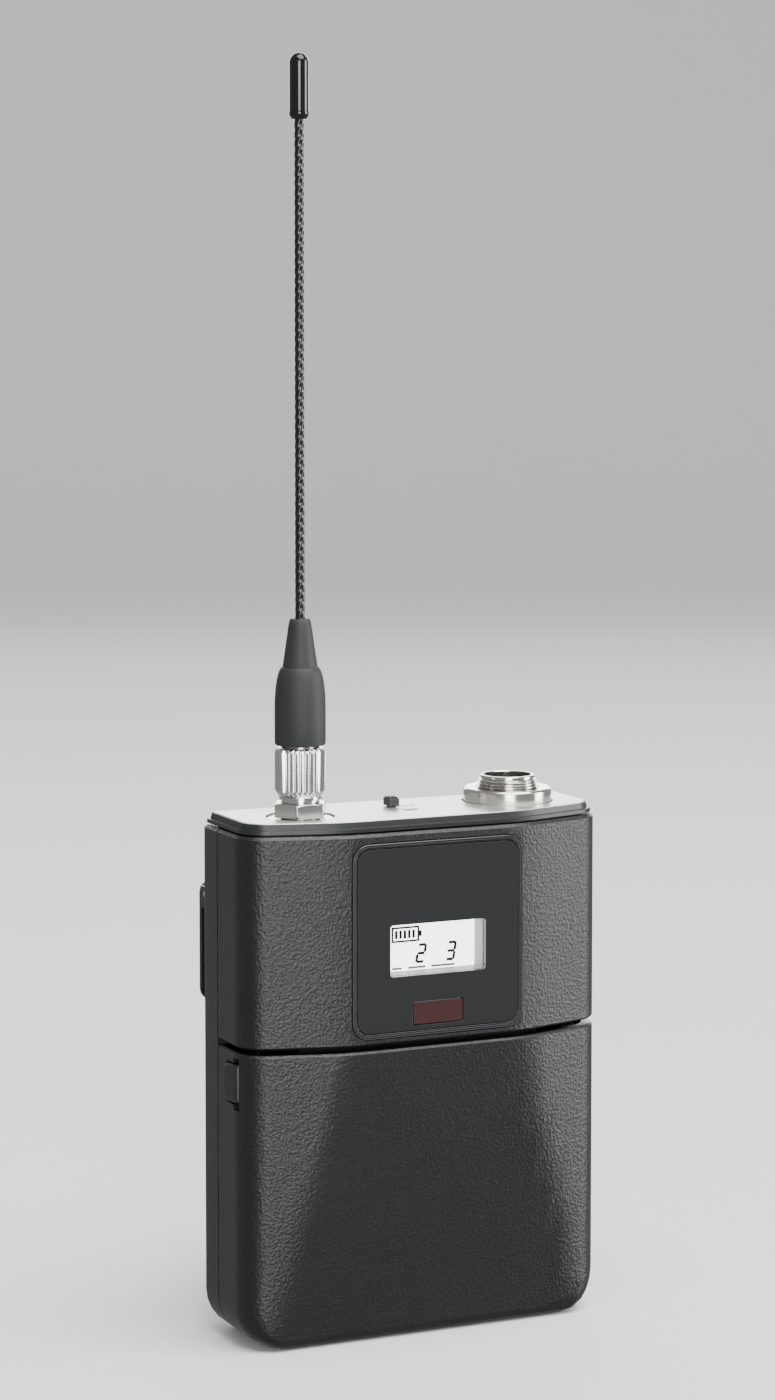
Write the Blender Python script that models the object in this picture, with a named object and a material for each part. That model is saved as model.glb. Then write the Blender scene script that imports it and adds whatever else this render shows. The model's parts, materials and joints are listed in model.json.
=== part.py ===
"""A wireless bodypack transmitter: belt-worn radio pack with a whip antenna, input socket and battery door.

Frame: the origin is on the flat base under the middle of the case, +Z up along the antenna, the front
with the display faces -Y, and +X is the wearer's side with the input socket. All named sizes are in
millimetres and are turned into metres when a mesh becomes an object.
"""
import math

import bmesh
import bpy
from mathutils import Matrix, Vector

MM = 0.001
GAP = 0.3
FIT = 0.15
PAST = 2.0

# Case
CASE_HEIGHT = 86.0
HALF_WIDTH = 32.2
FRONT_Y = -11.5
REAR_Y = 11.5
SEAM_Y = 4.3
FRONT_SEAM = SEAM_Y - 0.1
REAR_SEAM = SEAM_Y + 0.2
WALL = 1.8
FACET_START = 15.9
FACET_ANGLE = math.radians(16)
CORNER_RADIUS = 5.5
REAR_RADIUS = 2.0
FOOT_RADIUS = 6.8
EDGE_RADIUS = 2.0
BLEND = 0.5
BODY_TOP = 84.0
INNER_FRONT_Y = FRONT_Y + WALL

# Door
DOOR_TOP = 48.7
CASE_LOW = 49.6
DOOR_SETBACK = 3.6
HINGE_Y = 2.0
HINGE_Z = 2.2
BARREL_RADIUS = 2.2
BARREL_HALF = 23.4
EAR_X = (19.6, 22.4)
PIN_RADIUS = 0.75
LATCH_Z = (40.4, 46.7)
LATCH_Y = (-3.6, 0.5)
TAB_X = 33.0
TAB_INNER_X = 27.4
TAB_CORNER = 1.2
TAB_CHAMFER = 0.4
TAB_FRONT_X = 32.25
SLOT_X = (25.6, 36.0)
SLOT_GAP = 0.25
NOTCH_Y = (-0.45, 1.4)
NOTCH_RISE = 1.1
EAR_RADIUS = 1.9
PIN_CLEARANCE = 0.12

# Display
PANEL_HALF = 14.3
PANEL_Z = (51.55, 81.45)
PANEL_CORNER = 2.0
BEZEL_WIDTH = 0.75
POCKET_DEPTH = 1.0
FACE_BACK = FRONT_Y + 0.7
LCD_HALF = 8.55
LCD_Z = (60.5, 68.9)
LCD_FRAME_HALF = 10.2
LCD_FRAME_Y = (-10.3, -7.1)
LCD_FRAME_Z = (58.8, 70.6)
LCD_GLASS_Y = (-6.9, -5.2)
IR_HALF = 4.55
IR_Z = (52.3, 56.2)
IR_WALL_HALF = 5.2
IR_WALL_Z = (51.9, 56.8)

# Top fittings
LID_LEDGE = 84.95
PLATE_LOW = 85.0
PLATE_INSET = 1.5
HOLE_SPAN = (80.0, 90.0)
SWITCH_X = -1.9
SWITCH_Y = 2.65
SWITCH_SLOT = (-3.0, 2.2)
LED_AT = (-0.45, -1.4)
ANTENNA_AT = (-19.6, -0.5)
SOCKET_AT = (19.2, 2.0)
SOCKET_TOP = 90.3
CUP_RADIUS = 4.0
THREAD_RADIUS = 5.2
ANTENNA_TOP = 208.7
FLUTES = 28
FLUTE_RADII = (3.85, 4.15)
NUT_BORE = 3.3
NUT_FOOT = 88.8
NUT_FOOT_SIZE = 0.92
NUT_LEVELS = ((89.6, 1.0), (96.8, 1.0), (97.2, 0.94))
BOOT_RADIUS = 4.15
BOOT_SHOULDER = 103.6
WHIP_RADIUS = 0.78
TIP_RADIUS = 1.55
PIN_CIRCLE = 2.1

# Battery bay and controls
TRAY_HALF = 29.6
TRAY_Y = (-1.2, 9.4)
TRAY_Z = (4.65, 35.4)
TRAY_CHAMFER = 1.2
TRAY_INNER_HALF = 28.6
CRADLE_GAP = 0.2
CELL_RADIUS = 7.05
CELL_LENGTH = 50.5
CELL_Y = 1.6
CELL_Z = (12.6, 27.5)
BUTTON_X = 8.0
BUTTON_Z = 42.4
SPRING_TURNS = 3.5
SPRING_WIRE = 0.3
SPRING_RADII = (4.2, 2.6)
SPRING_X = (27.9, 23.7)

# Back
SCREW_AT = ((-27.2, 78.6), (27.2, 78.6), (-27.2, 51.6), (27.2, 51.6))
SCREW_HEAD = 2.15
SCREW_SLOT = (0.25, 1.2)
COUNTERBORE = 2.35
LABEL_HALF = 19.7
LABEL_Z = (8.3, 33.7)
CLIP_BAND = (54.0, 74.0)
CLIP_HALF = 31.25
CLIP_INNER_Y = 13.65
CLIP_THICK = 0.95
CLIP_AXIS = (12.45, 72.0)
CLIP_TONGUE_HALF = 13.0
CLIP_BOW_Y = 16.5
CLIP_HOLE = 0.6
CLIP_PIN = 0.48
LUG_X = (27.2, 30.0)
LUG_RADIUS = 1.05
LUG_FOOT = 1.8


def clear_scene():
    """Removes whatever the scene holds."""
    for obj in list(bpy.data.objects):
        bpy.data.objects.remove(obj, do_unlink=True)


def material(name, color, roughness, metallic=0.0, transmission=0.0):
    """A Principled BSDF material from linear colour values."""
    found = bpy.data.materials.get(name)
    if found:
        return found
    made = bpy.data.materials.new(name)
    made.use_nodes = True
    shader = made.node_tree.nodes["Principled BSDF"]
    shader.inputs["Base Color"].default_value = (*color, 1.0)
    shader.inputs["Roughness"].default_value = roughness
    shader.inputs["Metallic"].default_value = metallic
    shader.inputs["Transmission Weight"].default_value = transmission
    return made


PAINT = ("black_textured_paint", (0.028, 0.028, 0.028), 0.55)
PLASTIC = ("black_plastic", (0.02, 0.02, 0.02), 0.45)
GLOSS = ("gloss_black_panel", (0.03, 0.03, 0.032), 0.12)
SATIN = ("satin_aluminium", (0.78, 0.78, 0.77), 0.35, 1.0)
NICKEL = ("bright_nickel", (0.75, 0.74, 0.72), 0.18, 1.0)
STEEL = ("spring_steel_black", (0.03, 0.03, 0.03), 0.4, 0.6)
RUBBER = ("black_rubber", (0.012, 0.012, 0.012), 0.7)
BOARD = ("circuit_board", (0.02, 0.12, 0.05), 0.5)
LIGHT_PLASTIC = ("grey_plastic", (0.45, 0.45, 0.45), 0.5)
LCD_GLASS = ("lcd_glass", (0.78, 0.8, 0.78), 0.2)
CLEAR = ("clear_window", (0.9, 0.9, 0.9), 0.05, 0.0, 1.0)
DARK_RED = ("infrared_window", (0.06, 0.012, 0.013), 0.15)
GOLD = ("gold_contact", (0.83, 0.6, 0.25), 0.25, 1.0)
CELL_SKIN = ("cell_jacket", (0.25, 0.26, 0.28), 0.35, 0.6)
LABEL = ("blank_label", (0.5, 0.5, 0.5), 0.6)


def make(name, bm, look, origin=(0.0, 0.0, 0.0), parent=None):
    """Turns a mesh built in millimetres into an object whose origin lies at the given point."""
    bmesh.ops.recalc_face_normals(bm, faces=bm.faces)
    bmesh.ops.translate(bm, verts=bm.verts, vec=-Vector(origin))
    bmesh.ops.scale(bm, verts=bm.verts, vec=(MM, MM, MM))
    mesh = bpy.data.meshes.new(name)
    bm.to_mesh(mesh)
    bm.free()
    mesh.shade_smooth()
    mesh.set_sharp_from_angle(angle=math.radians(35))
    mesh.materials.append(material(*look))
    obj = bpy.data.objects.new(name, mesh)
    bpy.context.collection.objects.link(obj)
    obj.location = Vector(origin) * MM
    if parent:
        obj.parent = parent
        obj.location = (Vector(origin) * MM) - parent.matrix_world.translation
    bpy.context.view_layer.update()
    return obj


def combine(target, bm, operation):
    """Adds an exact Boolean with a hidden helper that moves with its target."""
    index = len(target.modifiers) + 1
    helper = make(f"{target.name}_helper_{index}", bm, PLASTIC)
    helper.hide_render = True
    helper.display_type = "WIRE"
    world = helper.matrix_world.copy()
    helper.parent = target
    helper.matrix_parent_inverse = target.matrix_world.inverted()
    helper.matrix_world = world
    modifier = target.modifiers.new(f"{operation.lower()}_{index}", "BOOLEAN")
    modifier.operation = operation
    modifier.solver = "EXACT"
    modifier.object = helper


def cut(target, bm):
    combine(target, bm, "DIFFERENCE")


def add(target, bm):
    combine(target, bm, "UNION")


def extruded(bm, faces, keep):
    """Extrudes a region in place and returns its new faces; the old ones stay only as a solid's first cap."""
    made = bmesh.ops.extrude_face_region(bm, geom=faces, use_keep_orig=True)["geom"]
    if not keep:
        bmesh.ops.delete(bm, geom=faces, context="FACES")
    return [item for item in made if isinstance(item, bmesh.types.BMFace)]


def loft(rings):
    """A closed solid through rings of equal point counts, by extruding the last face to the next ring."""
    bm = bmesh.new()
    last = [bm.faces.new([bm.verts.new(point) for point in rings[0]])]
    for index, ring in enumerate(rings[1:]):
        last = extruded(bm, last, keep=index == 0)
        for vert, point in zip(last[0].verts, ring):
            vert.co = point
    return bm


def along(axis, u, v, w):
    """A point from its place w along the axis and its two other coordinates, in X, Y, Z order."""
    return {"X": (w, u, v), "Y": (u, w, v), "Z": (u, v, w)}[axis]


def prism(outline, axis, low, high):
    """A flat outline extruded along an axis."""
    return loft([[along(axis, u, v, w) for u, v in outline] for w in (low, high)])


def box(x, y, z):
    return prism([(x[0], y[0]), (x[1], y[0]), (x[1], y[1]), (x[0], y[1])], "Z", z[0], z[1])


def soft_box(x, y, z, radius, segments=2):
    """A box with every edge rounded."""
    bm = box(x, y, z)
    bmesh.ops.bevel(
        bm, geom=bm.edges[:], offset=radius, segments=segments, profile=0.5, affect="EDGES", material=-1
    )
    return bm


def rounded(half_u, low_v, high_v, radius, steps=4, middle_u=0.0):
    """A rectangle with round corners."""
    points = []
    corners = (
        (half_u - radius, high_v - radius, 0),
        (radius - half_u, high_v - radius, 90),
        (radius - half_u, low_v + radius, 180),
        (half_u - radius, low_v + radius, 270),
    )
    for u, v, start in corners:
        for step in range(steps + 1):
            angle = math.radians(start + 90 * step / steps)
            points.append((middle_u + u + radius * math.cos(angle), v + radius * math.sin(angle)))
    return points


def sign(value):
    return 1.0 if value > 0 else -1.0


def span(side, near, far):
    """The two ends, lowest first, of a stretch that runs from near to far on the given side."""
    return sorted((side * near, side * far))


def fractions(steps, whole):
    """Evenly spaced values from 0 to the whole."""
    return [whole * step / steps for step in range(steps + 1)]


def half_turn():
    """Angles over the half circle that faces +Y, from -90 to 90 degrees."""
    return [angle - math.pi / 2 for angle in fractions(10, math.pi)]


def circle(radius, segments, u=0.0, v=0.0):
    turn = 2 * math.pi / segments
    return [(u + radius * math.cos(turn * i), v + radius * math.sin(turn * i)) for i in range(segments)]


def cylinder(radius, axis, low, high, u, v, segments=32):
    return prism(circle(radius, segments, u, v), axis, low, high)


def turned(profile, at, segments=32):
    """A profile of (radius, height) points spun about the vertical line through a point."""
    bm = bmesh.new()
    verts = [bm.verts.new((at[0] + radius, at[1], height)) for radius, height in profile]
    edges = [bm.edges.new(pair) for pair in zip(verts, verts[1:] + verts[:1])]
    bmesh.ops.spin(
        bm,
        geom=verts + edges,
        cent=(at[0], at[1], 0),
        axis=(0, 0, 1),
        angle=2 * math.pi,
        steps=segments,
        use_merge=True,
    )
    bmesh.ops.remove_doubles(bm, verts=bm.verts, dist=0.0005)
    bmesh.ops.dissolve_degenerate(bm, dist=0.0005, edges=bm.edges)
    loose = [edge for edge in bm.edges if not edge.link_faces]
    bmesh.ops.delete(bm, geom=loose, context="EDGES")
    return bm


def smooth_max(a, b):
    """The larger value, with a soft blend where the two are nearly equal."""
    return (a + b + math.sqrt((a - b) ** 2 + BLEND**2)) / 2


def front_path(z, inset=0.0, half_width=HALF_WIDTH, setback=0.0, seam=FRONT_SEAM):
    """The front half's outline at height z, from the left seam past the two facets to the right seam."""
    width = half_width - inset
    radius = max(CORNER_RADIUS - inset, 0.6)
    slope = math.tan(FACET_ANGLE)
    facet_y = FRONT_Y + inset / math.cos(FACET_ANGLE)
    centre_x = width - radius
    centre_y = facet_y + (centre_x - FACET_START) * slope + radius / math.cos(FACET_ANGLE)
    plane_y = FRONT_Y + inset + setback
    right = []
    spans = 22
    reach = centre_x + radius * math.sin(FACET_ANGLE)
    for step in range(spans // 2 + 1):
        x = reach * 2 * step / spans
        right.append((x, smooth_max(facet_y + (x - FACET_START) * slope, plane_y)))
    arc_steps = 6
    first = math.pi / 2 - FACET_ANGLE
    for step in range(1, arc_steps + 1):
        angle = -first * (1 - step / arc_steps)
        y = centre_y + radius * math.sin(angle)
        right.append((centre_x + radius * math.cos(angle), smooth_max(y, plane_y)))
    right.append((width, seam))
    left = [(-x, y) for x, y in reversed(right[1:])]
    return [(x, y, z) for x, y in left + right]


def rear_path(z, inset=0.0, half_width=HALF_WIDTH, seam=REAR_SEAM):
    """The rear half's outline at height z, from the right seam past the back to the left seam."""
    width = half_width - inset
    radius = max(REAR_RADIUS - inset, 0.4)
    back = REAR_Y - inset
    right = [(width, seam)]
    for step in range(5):
        angle = math.radians(90 * step / 4)
        x = width - radius + radius * math.cos(angle)
        right.append((x, back - radius + radius * math.sin(angle)))
    left = [(-x, y) for x, y in reversed(right)]
    return [(x, y, z) for x, y in right + left]


def foot_levels(inset=0.0):
    """(height, inset, half width) up the case's rounded foot; the inset gives the wall's inner skin."""
    levels = []
    radius = FOOT_RADIUS - inset
    for step in range(7):
        angle = math.radians(90 - 15 * step)
        z = inset + radius * (1 - math.sin(angle))
        width = HALF_WIDTH - FOOT_RADIUS + radius * math.cos(angle) + inset
        edge = max(EDGE_RADIUS - inset, 0.3)
        rise = min((z - inset) / edge, 1.0)
        levels.append((z, inset + edge * (1 - math.sqrt(1 - (1 - rise) ** 2)), width))
    return levels


def door_setback(z):
    """How far the door's middle plane has leaned back at height z."""
    return DOOR_SETBACK * max(DOOR_TOP - z, 0.0) / DOOR_TOP


def door_rings(inset, top_levels, seam):
    levels = foot_levels(inset)
    levels += [(z, inset, HALF_WIDTH) for z in (14.0, 22.0, 30.0, 38.0, 45.0)]
    levels += [(z, inset + extra, HALF_WIDTH) for z, extra in top_levels]
    return [front_path(z, t, w, door_setback(z), seam) for z, t, w in levels]


def front_case():
    """The upper front casing: faceted shell with the display pocket and four screw bosses."""
    levels = ((CASE_LOW, 0.35), (CASE_LOW + 0.35, 0.0), (BODY_TOP - 0.5, 0.0), (BODY_TOP, 0.5))
    case = make("front_case", loft([front_path(z, t) for z, t in levels]), PAINT)
    low = CASE_LOW + 1.6
    cut(case, loft([front_path(z, WALL, seam=SEAM_Y + 6) for z in (low, BODY_TOP + 4)]))
    for x, z in SCREW_AT:
        if z > BODY_TOP - 10:
            add(case, cylinder(2.3, "Y", -7.2, FRONT_SEAM, x, z, 20))
    for x, z in SCREW_AT:
        cut(case, cylinder(1.15, "Y", -4.0, SEAM_Y + PAST, x, z, 16))
    pocket = PANEL_HALF + BEZEL_WIDTH + 2 * FIT
    shift = BEZEL_WIDTH + 2 * FIT
    outline = rounded(pocket, PANEL_Z[0] - shift, PANEL_Z[1] + shift, PANEL_CORNER + shift)
    cut(case, prism(outline, "Y", FRONT_Y - PAST, FRONT_Y + POCKET_DEPTH))
    through = (FRONT_Y - PAST, INNER_FRONT_Y + 1)
    frame_hole = LCD_FRAME_HALF + GAP
    cut(case, box((-frame_hole, frame_hole), through, (LCD_FRAME_Z[0] - GAP, LCD_FRAME_Z[1] + GAP)))
    cut(case, box((-IR_WALL_HALF, IR_WALL_HALF), through, IR_WALL_Z))
    return case


def rear_case():
    """The rear casing: full-height tray with hinge ears, screw bosses, clip lugs and a label recess."""
    levels = foot_levels()
    levels += [(BODY_TOP - 0.5, 0.0, HALF_WIDTH), (BODY_TOP, 0.5, HALF_WIDTH)]
    case = make("rear_case", loft([rear_path(z, t, w) for z, t, w in levels]), PAINT)
    inner = foot_levels(WALL) + [(BODY_TOP + 4, WALL, HALF_WIDTH)]
    cut(case, loft([rear_path(z, t, w, SEAM_Y - 2) for z, t, w in inner]))
    for side in (-1, 1):
        add(case, prism(hinge_ear(), "X", *span(side, *EAR_X)))
        add(case, prism(clip_lug(), "X", *span(side, *LUG_X)))
        cut(case, cylinder(CLIP_HOLE, "X", *span(side, 26.0, 31.0), *CLIP_AXIS, 16))
    cut(case, hinge_bore())
    for x, z in SCREW_AT:
        add(case, cylinder(2.6, "Y", REAR_SEAM, REAR_Y - 1.0, x, z, 20))
    for x, z in SCREW_AT:
        cut(case, cylinder(1.2, "Y", SEAM_Y - 3, REAR_Y + 3, x, z, 16))
        cut(case, cylinder(COUNTERBORE, "Y", REAR_Y - 0.9, REAR_Y + 3, x, z, 24))
    recess = rounded(LABEL_HALF + GAP, LABEL_Z[0] - GAP, LABEL_Z[1] + GAP, 1.5, 3)
    cut(case, prism(recess, "Y", REAR_Y - 0.6, REAR_Y + PAST))
    return case


def hinge_ear():
    """The side line of an ear that holds the hinge pin: a round front and a foot inside the case floor."""
    turn = fractions(8, math.pi)
    ear = [(HINGE_Y - EAR_RADIUS * math.sin(a), HINGE_Z + EAR_RADIUS * math.cos(a)) for a in turn]
    foot_y = 8.0
    return ear + [(foot_y, 0.4), (foot_y, HINGE_Z + EAR_RADIUS)]


def clip_lug():
    """The side line of a lug that holds a clip pivot on the back."""
    y, z = CLIP_AXIS
    lug = [(y + LUG_RADIUS * math.cos(a), z + LUG_RADIUS * math.sin(a)) for a in half_turn()]
    return lug + [(REAR_Y - 0.8, z + LUG_FOOT), (REAR_Y - 0.8, z - LUG_FOOT)]


def hinge_bore():
    """The running hole for the hinge pin, through the ears and the door's barrel."""
    return cylinder(PIN_RADIUS + PIN_CLEARANCE, "X", -26, 26, HINGE_Y, HINGE_Z, 20)


def battery_door():
    """The lower front door: leaning middle plane between facets, hinge barrel, latch slots."""
    outer = door_rings(0.0, ((DOOR_TOP - 0.35, 0.0), (DOOR_TOP, 0.35)), FRONT_SEAM)
    door = make("battery_door", loft(outer), PAINT, (0.0, HINGE_Y, HINGE_Z))
    cut(door, loft(door_rings(WALL, ((DOOR_TOP + 4, 0.0),), SEAM_Y + 3)))
    cut(door, prism(heel(), "X", -40, 40))
    add(door, cylinder(BARREL_RADIUS, "X", -BARREL_HALF, BARREL_HALF, HINGE_Y, HINGE_Z, 32))
    slot_y = (LATCH_Y[0] - SLOT_GAP, LATCH_Y[1] + SLOT_GAP)
    slot_z = (LATCH_Z[0] - SLOT_GAP, LATCH_Z[1] + SLOT_GAP)
    notch_y = (LATCH_Y[0] + NOTCH_Y[0], LATCH_Y[0] + NOTCH_Y[1])
    notch_z = (LATCH_Z[0] - NOTCH_RISE, LATCH_Z[1] + NOTCH_RISE)
    for side in (-1, 1):
        ear_room = span(side, EAR_X[0] - GAP, EAR_X[1] + GAP)
        cut(door, box(ear_room, (HINGE_Y - BARREL_RADIUS - GAP, HINGE_Y + 4), (-2, 8)))
        cut(door, box(span(side, *SLOT_X), slot_y, slot_z))
        cut(door, box(span(side, *SLOT_X), notch_y, notch_z))
    cut(door, hinge_bore())
    return door


def heel():
    """The side line of what is cut from the door's foot, leaving the round barrel behind the pin."""
    back_y = 8.0
    arc = [
        (HINGE_Y + BARREL_RADIUS * math.cos(a), HINGE_Z - BARREL_RADIUS * math.sin(a))
        for a in fractions(6, math.pi / 2)
    ]
    return [(HINGE_Y, -1.0), (back_y, -1.0), (back_y, HINGE_Z)] + arc


def door_latch(name, side, door):
    """A squeeze tab with the arm that keeps it inside the door and the hook that reaches past the seam."""
    z_middle = (LATCH_Z[0] + LATCH_Z[1]) / 2
    outline = tab_outline()
    inner = side * TAB_INNER_X
    y_middle = (LATCH_Y[0] + LATCH_Y[1]) / 2
    small = [
        (y + TAB_CHAMFER * sign(y_middle - y), z + TAB_CHAMFER * sign(z_middle - z)) for y, z in outline
    ]
    base = [(inner, y, z) for y, z in outline]
    shoulder = [(side * (tab_face(y) - TAB_CHAMFER), y, z) for y, z in outline]
    rings = [base, shoulder, [(side * tab_face(y), y, z) for y, z in small]]
    latch = make(name, loft(rings), PLASTIC, (side * TAB_FRONT_X, y_middle, z_middle), door)
    arm_z = (LATCH_Z[0] - 1.7, LATCH_Z[1] + 1.7)
    add(latch, box(span(side, TAB_INNER_X, 29.9), (-2.2, 4.6), arm_z))
    add(latch, box(span(side, TAB_INNER_X, 29.3), (4.0, 7.2), (z_middle - 2.2, z_middle + 2.2)))
    return latch


def tab_face(y):
    """How far out the tab's face stands at y: nearly flush in front and proud at its rear edge."""
    share = (y - LATCH_Y[0]) / (LATCH_Y[1] - TAB_CHAMFER - LATCH_Y[0])
    return TAB_FRONT_X + (TAB_X - TAB_FRONT_X) * min(share, 1.0)


def tab_outline():
    """The tab's side view: square at the front, with round corners at the rear."""
    corner_y = LATCH_Y[1] - TAB_CORNER
    outline = [(LATCH_Y[0], LATCH_Z[0]), (corner_y, LATCH_Z[0])]
    turn = fractions(4, math.pi / 2)
    low_z = LATCH_Z[0] + TAB_CORNER
    high_z = LATCH_Z[1] - TAB_CORNER
    outline += [(corner_y + TAB_CORNER * math.sin(a), low_z - TAB_CORNER * math.cos(a)) for a in turn[1:]]
    outline += [(corner_y + TAB_CORNER * math.cos(a), high_z + TAB_CORNER * math.sin(a)) for a in turn]
    return outline + [(LATCH_Y[0], LATCH_Z[1])]


def top_frame():
    """The black lid under the metal plate: skirt, flange, stepped rim and a pocket for the plate."""
    levels = (
        (81.4, WALL + GAP),
        (BODY_TOP + GAP, WALL + GAP),
        (BODY_TOP + GAP, 0.45),
        (LID_LEDGE, 0.45),
        (LID_LEDGE, 1.0),
        (85.9, 1.25),
    )
    lid = make("top_frame", loft([full_ring(z, t) for z, t in levels]), PLASTIC)
    cut(lid, loft([full_ring(z, 1.4) for z in (84.7, 88.0)]))
    cut(lid, loft([full_ring(z, 3.0) for z in (79.0, 83.2)]))
    cut(lid, cylinder(3.5, "Z", *HOLE_SPAN, *ANTENNA_AT))
    cut(lid, cylinder(5.5, "Z", *HOLE_SPAN, *SOCKET_AT))
    cut(lid, cylinder(1.5, "Z", *HOLE_SPAN, *LED_AT, 20))
    cut(lid, box((SWITCH_SLOT[0] - GAP, SWITCH_SLOT[1] + GAP), (SWITCH_Y - 0.9, SWITCH_Y + 0.9), HOLE_SPAN))
    return lid


def full_ring(z, inset):
    """The whole case's outline at height z."""
    front = front_path(z, inset, seam=SEAM_Y)
    return front + rear_path(z, inset, seam=SEAM_Y)[1:-1]


def top_plate():
    """The satin metal plate with holes for the two sockets, the switch and the status light."""
    plate = make("top_plate", loft([full_ring(z, PLATE_INSET) for z in (PLATE_LOW, CASE_HEIGHT)]), SATIN)
    cut(plate, cylinder(5.6, "Z", *HOLE_SPAN, *ANTENNA_AT))
    cut(plate, cylinder(7.65, "Z", *HOLE_SPAN, *SOCKET_AT, 40))
    cut(plate, cylinder(1.4, "Z", *HOLE_SPAN, *LED_AT, 20))
    slot = rounded((SWITCH_SLOT[1] - SWITCH_SLOT[0]) / 2, SWITCH_Y - 0.6, SWITCH_Y + 0.6, 0.5, 3)
    middle = (SWITCH_SLOT[0] + SWITCH_SLOT[1]) / 2
    cut(plate, prism([(x + middle, y) for x, y in slot], "Z", *HOLE_SPAN))
    return plate


def display():
    """Bezel ring, gloss panel, clear window, light frame, LCD, infrared window, receiver and board."""
    ring_in = PANEL_HALF + FIT
    ring_out = ring_in + BEZEL_WIDTH
    grow = FIT + BEZEL_WIDTH
    outer = rounded(ring_out, PANEL_Z[0] - grow, PANEL_Z[1] + grow, PANEL_CORNER + grow)
    ring = make("display_bezel", prism(outer, "Y", FRONT_Y - 0.1, FACE_BACK), PLASTIC)
    inner = rounded(ring_in, PANEL_Z[0] - FIT, PANEL_Z[1] + FIT, PANEL_CORNER + FIT)
    cut(ring, prism(inner, "Y", FRONT_Y - PAST, FRONT_Y + PAST))
    face = rounded(PANEL_HALF, *PANEL_Z, PANEL_CORNER)
    panel = make("display_panel", prism(face, "Y", FRONT_Y + 0.05, FACE_BACK), GLOSS)
    cut(panel, prism(rounded(LCD_HALF, *LCD_Z, 0.5, 3), "Y", FRONT_Y - PAST, FRONT_Y + PAST))
    cut(panel, prism(rounded(IR_HALF, *IR_Z, 0.3, 2), "Y", FRONT_Y - PAST, FRONT_Y + PAST))
    window = rounded(LCD_HALF - FIT, LCD_Z[0] + FIT, LCD_Z[1] - FIT, 0.45, 3)
    make("display_window", prism(window, "Y", FRONT_Y + 0.1, FACE_BACK), CLEAR)
    infrared = rounded(IR_HALF - FIT, IR_Z[0] + FIT, IR_Z[1] - FIT, 0.25, 2)
    make("infrared_window", prism(infrared, "Y", FRONT_Y + 0.1, FACE_BACK), DARK_RED)
    holder = box((-LCD_FRAME_HALF, LCD_FRAME_HALF), LCD_FRAME_Y, LCD_FRAME_Z)
    holder = make("lcd_frame", holder, LIGHT_PLASTIC)
    through = (LCD_FRAME_Y[0] - PAST, LCD_FRAME_Y[1] + PAST)
    cut(holder, box((-LCD_HALF, LCD_HALF), through, LCD_Z))
    make("lcd_module", box((-10.6, 10.6), LCD_GLASS_Y, (58.2, 71.0)), LCD_GLASS)
    make("infrared_receiver", soft_box((-3.4, 3.4), (-9.9, LCD_GLASS_Y[1]), (52.9, 55.7), 0.4), PLASTIC)
    make("display_board", box((-14.5, 14.5), (-4.9, -3.9), (52.6, 80.6)), BOARD)


def electronics():
    """The radio board behind the battery deck and the screening can soldered to it."""
    make("main_board", box((-24.0, 24.0), (7.4, 8.4), (53.0, 74.5)), BOARD)
    make("radio_shield", soft_box((-20.0, 4.0), (4.2, 7.1), (55.5, 72.0), 0.5, 1), NICKEL)


def power_switch():
    """The sliding lever with its stem through the slot, the switch body and the status light."""
    cap = soft_box((SWITCH_X - 0.9, SWITCH_X + 0.9), (SWITCH_Y - 1.3, SWITCH_Y + 1.3), (86.2, 87.7), 0.3)
    lever = make("power_switch_lever", cap, PLASTIC, (SWITCH_X, SWITCH_Y, 84.0))
    add(lever, box((SWITCH_X - 0.7, SWITCH_X + 0.7), (SWITCH_Y - 0.4, SWITCH_Y + 0.4), (82.0, 86.6)))
    add(lever, box((SWITCH_X - 2.0, SWITCH_X + 2.0), (SWITCH_Y - 1.2, SWITCH_Y + 1.2), (81.7, 82.7)))
    body = box((SWITCH_X - 4.0, SWITCH_X + 6.0), (SWITCH_Y - 1.9, SWITCH_Y + 1.9), (77.8, 81.4))
    make("power_switch_body", body, PLASTIC)
    profile = ((0, 79.5), (1.25, 79.5), (1.25, 85.9), (0.9, 86.06), (0.0, 86.12))
    make("status_led", turned(profile, LED_AT, 20), GLOSS)


def knurled_nut():
    """A fluted tube: a ring of faces between the fluted outline and the bore, extruded level by level."""
    bm = bmesh.new()
    loops = []
    for inside in (False, True):
        verts = []
        for i in range(FLUTES * 2):
            radius = NUT_BORE if inside else FLUTE_RADII[i % 2] * NUT_FOOT_SIZE
            angle = math.pi * i / FLUTES
            verts.append(bm.verts.new((radius * math.cos(angle), radius * math.sin(angle), NUT_FOOT)))
        loops += [bm.edges.new(pair) for pair in zip(verts, verts[1:] + verts[:1])]
    faces = bmesh.ops.bridge_loops(bm, edges=loops)["faces"]
    size = NUT_FOOT_SIZE
    for index, (next_height, next_size) in enumerate(NUT_LEVELS):
        faces = extruded(bm, faces, keep=index == 0)
        for vert in {vert for face in faces for vert in face.verts}:
            outer = vert.co.xy.length > NUT_BORE + 0.05
            stretch = next_size / size if outer else 1.0
            vert.co = (vert.co.x * stretch, vert.co.y * stretch, next_height)
        size = next_size
    bmesh.ops.translate(bm, verts=bm.verts, vec=(*ANTENNA_AT, 0))
    return bm


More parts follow.
